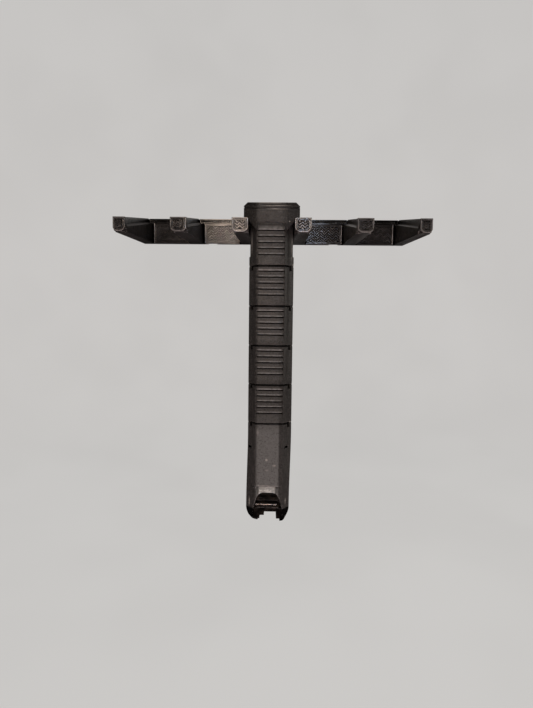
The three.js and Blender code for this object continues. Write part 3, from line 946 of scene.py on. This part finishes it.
def block_rows():
    """Heights of the block's rows, close together where there is relief."""
    near_rib = (0.6, 0.42, 0.34, 0.26, 0.0, -0.26, -0.34, -0.42, -0.6, -1.0, -1.5, -2.0, -2.4, -2.75)
    near_band = (0.7, 0.5, 0.42, 0.3, 0.0, -0.3, -0.42, -0.5, -0.7, -1.1, -1.6, -2.0, -2.3, -2.6)
    rows = {round(rib + d, 3) for rib in RIBS for d in near_rib}
    rows |= {round(band + d, 3) for band in BANDS[1:] for d in near_band}
    spans = [(4.0, -8.0, 0.6), (-8.0, -160.0, 2.0), (-21.9, -23.2, 0.2), (-131.4, -136.0, 0.4),
             (-155.5, BOTTOM, 0.3)]
    for start, end, gap in spans:
        rows.update(round(float(z), 3) for z in np.arange(start, end, -gap))
    rows.update((LIP_Z + 0.12, LIP_Z - 0.02, BOTTOM))
    ordered = sorted(rows)
    kept = [ordered[0]]
    for z in ordered[1:]:
        if z - kept[-1] > 0.07:
            kept.append(z)
    return np.array(kept)


def corner_curve():
    """Half width and height along one rounded lower corner."""
    t = np.linspace(0, 1, 30)
    x = (1 - t) ** 2 * END_FLAT + 2 * t * (1 - t) * END_FULL + t * t * BODY_HALF
    rise = 2 * t * (1 - t) * 0.3 + t * t * END_RISE
    return x, rise


def corner_half(z):
    """Half width left by the rounded lower corners."""
    x, rise = corner_curve()
    return np.interp(z - BOTTOM, rise, x, right=99)


def corner_floor(x):
    """Lowest height left by the rounded lower corners."""
    curve_x, rise = corner_curve()
    return BOTTOM + np.interp(np.abs(x), curve_x, rise, left=0)


def block_shell(material):
    plan = [(0, FRONT), (SPINE_HALF, FRONT + 0.05), (SHOULDER_HALF - 0.8, FRONT + SPINE_FALL),
            (SHOULDER_HALF, SHOULDER_Y), (BODY_HALF, SHOULDER_Y + SHOULDER_FALL),
            (BODY_HALF, BACK - FLANK_RADIUS), (BODY_HALF - FLANK_RADIUS, BACK), (0, BACK)]
    radii = [0, 0.7, 0.5, 0.3, 0.9, 1.2, 1.2, 0]
    left = [((-x, y), r) for (x, y), r in zip(plan[1:-1], radii[1:-1])][::-1]
    outline = plan + [p for p, _ in left]
    outline_radii = radii + [r for _, r in left]

    def step(middle):
        if middle[1] < SHOULDER_Y + SHOULDER_FALL + 0.2:
            return 0.42
        if middle[1] < FRONT + 8:
            return 1.2
        return 4.0

    loop = subdivide(fillet(outline, outline_radii, 4), step)
    ahead = np.roll(loop, -1, 0) - np.roll(loop, 1, 0)
    normal = np.stack([ahead[:, 1], -ahead[:, 0]], -1)
    normal /= np.linalg.norm(normal, axis=1)[:, None]

    rows = block_rows()
    s = np.repeat(rows[:, None], len(loop), 1)
    x = np.repeat(loop[None, :, 0], len(rows), 0)
    y = np.repeat(loop[None, :, 1], len(rows), 0)
    nx = np.repeat(normal[None, :, 0], len(rows), 0)
    ny = np.repeat(normal[None, :, 1], len(rows), 0)
    facing = smooth(0.30, 0.60, -ny)
    on_front = y < SHOULDER_Y + SHOULDER_FALL
    on_spine = (y < FRONT + 2.6) & on_front
    on_shoulder = on_front & ~on_spine
    on_side = (np.abs(x) > BODY_HALF - 1.0) & ~on_front

    depth = np.zeros_like(s)

    def deepest(where, cut):
        return np.maximum(depth, np.where(where, cut, 0))

    across = np.abs(x)
    ribbed = smooth(RIB_HALF + 0.35, RIB_HALF - 0.25, np.abs(x - RIB_X))
    depth += np.where(on_spine, rib_depth(s) * ribbed, 0)
    for band in BANDS[1:]:
        line = smooth(0.58, 0.38, np.abs(s - band))
        depth = deepest(on_spine, BAND_GROOVE * line)
        fade = smooth(BODY_HALF + 0.1, BODY_HALF - 1.3, across)
        depth = deepest(on_shoulder, SHOULDER_GROOVE * line * fade)
        depth = deepest(on_side, SIDE_GROOVE * line * smooth(-18, -19.5, y))
        pocket = smooth(0.75, 0.35, np.abs(across - POCKET_X))
        pocket = pocket * smooth(2.7, 2.1, band - s) * smooth(-0.5, -0.1, band - s)
        pocket = np.where(x > 0, POCKET_RIGHT, POCKET_LEFT) * pocket * facing
        depth = deepest(on_shoulder, pocket)
    # painted shade: how dark the floors of the sunken grooves are painted
    groove = 0.8 * smooth(0.62, 1.0, depth)
    crown = 0.16 * (x / SPINE_HALF) ** 2
    depth += np.where(on_spine, crown, 0)
    depth += np.where(on_spine, HEAD_STEP * smooth(-7.6, -3.6, s) * smooth(8.0, 6.6, across), 0)
    line = smooth(0.42, 0.18, np.abs(s - LIP_LINE)) * smooth(9.9, 9.4, -x) * smooth(7.3, 6.8, x)
    depth += np.where(on_spine, 0.35 * line, 0)
    bevel = np.where((s < LIP_Z) & (s > ARCH_TOP), (s - ARCH_TOP) / (LIP_Z - ARCH_TOP), 0)
    depth += np.where(on_spine, LIP_BEVEL * bevel * smooth(7.0, 5.0, np.abs(x + 0.95)), 0)
    slot = smooth(0.0, 0.3, -158.4 - s) * smooth(0.0, 0.3, s + 161.6)
    slot = slot * smooth(0.0, 0.3, -x - 6.2) * smooth(0.0, 0.3, x + 9.6)
    depth += np.where(on_spine, 0.25 * slot, 0)
    for dent_x, dent_z, turn in DENTS:
        dx, dz = x - dent_x, s - dent_z
        along = dx * math.cos(turn) - dz * math.sin(turn)
        aside = dx * math.sin(turn) + dz * math.cos(turn)
        dent = smooth(1.0, 0.6, np.hypot(along / 1.3, aside / 0.85))
        depth += np.where(on_front, DENT_DEPTH * dent * facing, 0)

    # painted highlight: the lower edge of each rib, just above the next groove, and a band under the head
    # are painted pale
    rib_highlight = np.zeros_like(s)
    for rib in RIBS:
        above = s - rib
        rib_highlight = np.maximum(rib_highlight, smooth(0.36, 0.48, above) * smooth(1.30, 0.75, above))
    rib_highlight = np.maximum(rib_highlight, 0.7 * smooth(-5.0, -6.0, s) * smooth(-8.0, -7.4, s))
    rib_highlight = rib_highlight * smooth(RIB_HALF, RIB_HALF - 2.0, np.abs(x - RIB_X)) * on_spine
    narrow = (BODY_HALF - COLLAR_HALF) * smooth(COLLAR_BOTTOM - 0.25, COLLAR_BOTTOM + 0.25, s)
    side_share = smooth(SHOULDER_HALF + 0.3, BODY_HALF - 0.1, across)
    x = x - np.sign(x) * narrow * side_share
    x = x - nx * depth
    y = y - ny * depth

    inside = arch_inside(x, s)
    fronting = (ny < -0.3) & (y < SHOULDER_Y + SHOULDER_FALL + 0.5)
    floor = FRONT + ARCH_DEPTH * smooth(0.0, 0.55, inside)
    y = np.where(fronting & (inside > 0), np.maximum(y, floor), y)
    inside = notch_inside(x, s)
    floor = FRONT + NOTCH_DEPTH * smooth(0.0, 0.35, inside)
    y = np.where(fronting & (inside > 0), np.maximum(y, floor), y)
    limit = corner_half(s)
    x = np.clip(x, -limit, limit)
    x = x - END_SHIFT * smooth(-125.0, -170.0, s) * smooth(8.0, 12.0, np.abs(x))

    tilt = smooth(-8.5, 3.0, s)
    z = s + tilt * SLOPE * (y - FRONT)
    verts = np.stack([x, y, z], -1).reshape(-1, 3)
    count = len(loop)
    faces = []
    for r in range(len(rows) - 1):
        for c in range(count):
            d = (c + 1) % count
            faces.append((r * count + c, r * count + d, (r + 1) * count + d, (r + 1) * count + c))
    faces.append(tuple(range(count - 1, -1, -1)))
    last = (len(rows) - 1) * count
    faces.append(tuple(last + c for c in range(count)))
    marks = {"groove": groove.ravel(), "rib_highlight": rib_highlight.ravel()}
    return add_piece("shell_blank", verts, faces, material), verts, marks


def put_marks(mesh, points, marks):
    """Gives each vertex the marks of the shell's vertex that it came from; new ones get none."""
    tree = KDTree(len(points))
    for i, point in enumerate(points):
        tree.insert(point * MM, i)
    tree.balance()
    found = [tree.find(vert.co) for vert in mesh.vertices]
    for name, values in marks.items():
        layer = mesh.attributes.new(name, "FLOAT", "POINT")
        shares = [float(values[i]) if gap < 0.02 * MM else 0.0 for _, i, gap in found]
        layer.data.foreach_set("value", shares)


def spread(low, high, edge, count):
    """Values from low to high, close together at both ends."""
    ends = [0, 0.12, 0.3, 0.55, 1.0]
    left = [low + e * edge for e in ends]
    right = [high - e * edge for e in ends[::-1]]
    return np.array(left + list(np.linspace(left[-1], right[0], count + 2)[1:-1]) + right)


def flat(level):
    """A curve over X that stays at one height."""
    return lambda x: np.full_like(x, level)


def facet(x):
    """How far the head's front falls back beside its flat middle."""
    return FACET_SLOPE * np.maximum(0, np.sqrt((np.abs(x) - PANEL_HALF) ** 2 + 0.04) * 0.5
                                    + (np.abs(x) - PANEL_HALF) * 0.5)


def head_parts(material):
    """The flared head over the ledges: its front and a skirt along each side."""
    t = np.linspace(0, 1, 40)
    side_x = (1 - t) ** 2 * CAP_HALF + 2 * t * (1 - t) * FLARE_CURVE[0] + t * t * FLARE_FOOT[0]
    side_z = (1 - t) ** 2 * FLARE_EDGE + 2 * t * (1 - t) * FLARE_CURVE[1] + t * t * FLARE_FOOT[1]
    middle = np.linspace(0, FLARE_FOOT[0] - 0.6, 14)
    low_x = np.concatenate([middle, side_x[::-1]])
    low_z = np.concatenate([-3.5 - 1.0 * (middle / middle[-1]) ** 3, side_z[::-1]])

    def bottom(x):
        return np.interp(np.abs(x), low_x, low_z)

    def front(x, z):
        return FRONT + facet(x) + 0.12 * smooth(-2.0, -5.0, z)

    xs = spread(-CAP_HALF, CAP_HALF, 0.6, 70)
    verts, faces = plate(xs, flat(CAP_BOTTOM - CAP_GAP), bottom, front, FRONT + HEAD_DEPTH, 0.45, SLOPE)
    parts = [add_piece("flare_blank", verts, faces, material)]
    low = 5.2 - SLOPE * (-FRONT - 5) + 0.35
    for side in (-1, 1):
        inner, outer = COLLAR_HALF - 1.0, CAP_HALF
        xs = spread(inner, outer, 0.5, 8)
        under = lambda x: low + np.maximum(0, x - COLLAR_HALF - 0.6) / (CAP_HALF - COLLAR_HALF - 0.6) * 0.75
        verts, faces = plate(xs, flat(CAP_BOTTOM - CAP_GAP), under,
                             lambda x, z: np.full_like(x, FRONT + SKIRT_START), BACK, 0.45, SLOPE)
        verts = verts * np.array([side, 1, 1])
        parts.append(add_piece("skirt_blank", verts, faces, material))
    return parts


def make_cap(material):
    def top(x):
        past = np.maximum(0, np.abs(x) - (CAP_HALF - CAP_CHAMFER[0]))
        return CAP_TOP - past * CAP_CHAMFER[1] / CAP_CHAMFER[0]

    def front(x, z):
        middle = smooth(PANEL_HALF + 0.3, PANEL_HALF - 0.1, np.abs(x))
        step = 0.55 * middle * smooth(5.75, 6.25, z) + 0.25 * (1 - middle) * smooth(5.6, 7.0, z)
        return FRONT + facet(x) + step

    xs = spread(-CAP_HALF, CAP_HALF, 0.5, 72)
    verts, faces = plate(xs, top, flat(CAP_BOTTOM), front, BACK, 0.35, SLOPE, rows=22)
    piece = add_piece("block_cap", verts, faces, material, "display_block", 30)
    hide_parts("display_cap")
    xs = spread(-CAP_HALF + 0.3, CAP_HALF - 0.3, 0.5, 30)
    verts, faces = plate(xs, flat(CAP_BOTTOM - 0.02), flat(CAP_BOTTOM - CAP_GAP + 0.02),
                         lambda x, z: FRONT + 0.12 + facet(x), BACK - 1, 0.02, SLOPE, rows=2)
    add_piece("cap_seam", verts, faces, material, "display_block", 30)


def make_insert():
    dark = end_shade_material()
    curve_x, curve_z = arch_curve(0.3)
    floor = BOTTOM + 0.6

    def top(x):
        return np.interp(np.abs(x - ARCH_X), curve_x, curve_z, left=ARCH_TOP - 0.3)

    def bottom(x):
        level = np.full_like(x, floor)
        for left, right, high in NOTCHES[::-1]:
            level = np.where((x > left) & (x < right), high, level)
        return np.maximum(level, corner_floor(x) + 0.35)

    reach = ARCH_HALF - 0.3 - 0.25
    marks = {round(ARCH_X + float(v), 3) for v in np.arange(-reach, reach, 0.4)} | {ARCH_X + reach}
    for left, right, _ in NOTCHES:
        marks |= {left - 0.02, left + 0.02, right - 0.02, right + 0.02}
    xs = np.array(sorted(marks))

    def front(x, z):
        ridge = 0.5 * smooth(0.9, 0.5, np.abs(z + 166.2)) + 0.35 * smooth(0.5, 0.2, np.abs(z + 171.2))
        return FRONT + 2.4 - ridge + 0.6 * smooth(-163.4, -162.2, z)

    verts, faces = plate(xs, top, bottom, front, FRONT + 4.7, 0.3, 0.0, rows=34)
    piece = add_piece("end_plate", verts, faces, dark, "display_block", 30)
    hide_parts("display_insert")

    pale = glint_bar_material()
    parts = []
    for x0, x1 in ((-7.9, -5.7), (-5.2, 2.3), (2.9, 4.9)):
        xs = spread(x0, x1, 0.25, 6)
        verts, faces = plate(xs, flat(BAR_HIGH), flat(BAR_LOW),
                             lambda x, z: FRONT + 1.2 + 0.42 * (z - BAR_TILT_Z),
                             FRONT + 2.7, 0.15, 0.0, rows=6)
        parts.append((verts.tolist(), faces))
    verts, faces = gather(parts)
    add_piece("end_bar", verts, faces, pale, "display_block", 30)


def make_block():
    material = block_material("block_plastic", dark_end=True)
    shell, points, marks = block_shell(material)
    mesh = join(shell, head_parts(material))
    put_marks(mesh, points, marks)
    piece = dress("block_shell", mesh, material, "display_block", 34)
    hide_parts("display_body")
    make_cap(block_material("cap_plastic"))
    make_insert()


# ---- stage ------------------------------------------------

def make_stage():
    """A pale bowl: a floor well below the rack, curving up into a wall far around it."""
    material = stage_material()
    path = [(0.0, -0.47), (0.9, -0.47)]
    for i in range(1, 13):
        angle = i / 12 * math.pi / 2
        path.append((0.9 + 0.6 * math.sin(angle), -0.47 + 0.6 * (1 - math.cos(angle))))
    path.append((1.5, 2.5))
    count = 72
    verts = [(0.0, 0.0, path[0][1])]
    for reach, z in path[1:]:
        for k in range(count):
            turn = 2 * math.pi * k / count
            verts.append((reach * math.cos(turn), reach * math.sin(turn), z))
    faces = [(0, 1 + k, 1 + (k + 1) % count) for k in range(count)]
    for ring in range(len(path) - 2):
        a, b = 1 + ring * count, 1 + (ring + 1) * count
        for k in range(count):
            m = (k + 1) % count
            faces.append((a + k, b + k, b + m, a + m))
    mesh = bpy.data.meshes.new("stage_bowl")
    mesh.from_pydata(verts, [], faces)
    bowl = dress("stage_bowl", mesh, material, angle=40)
    bowl.visible_diffuse = False
    bowl.visible_glossy = False
    bowl.visible_shadow = False


make_camera()
make_lights()
make_stage()
make_rack()
make_block()
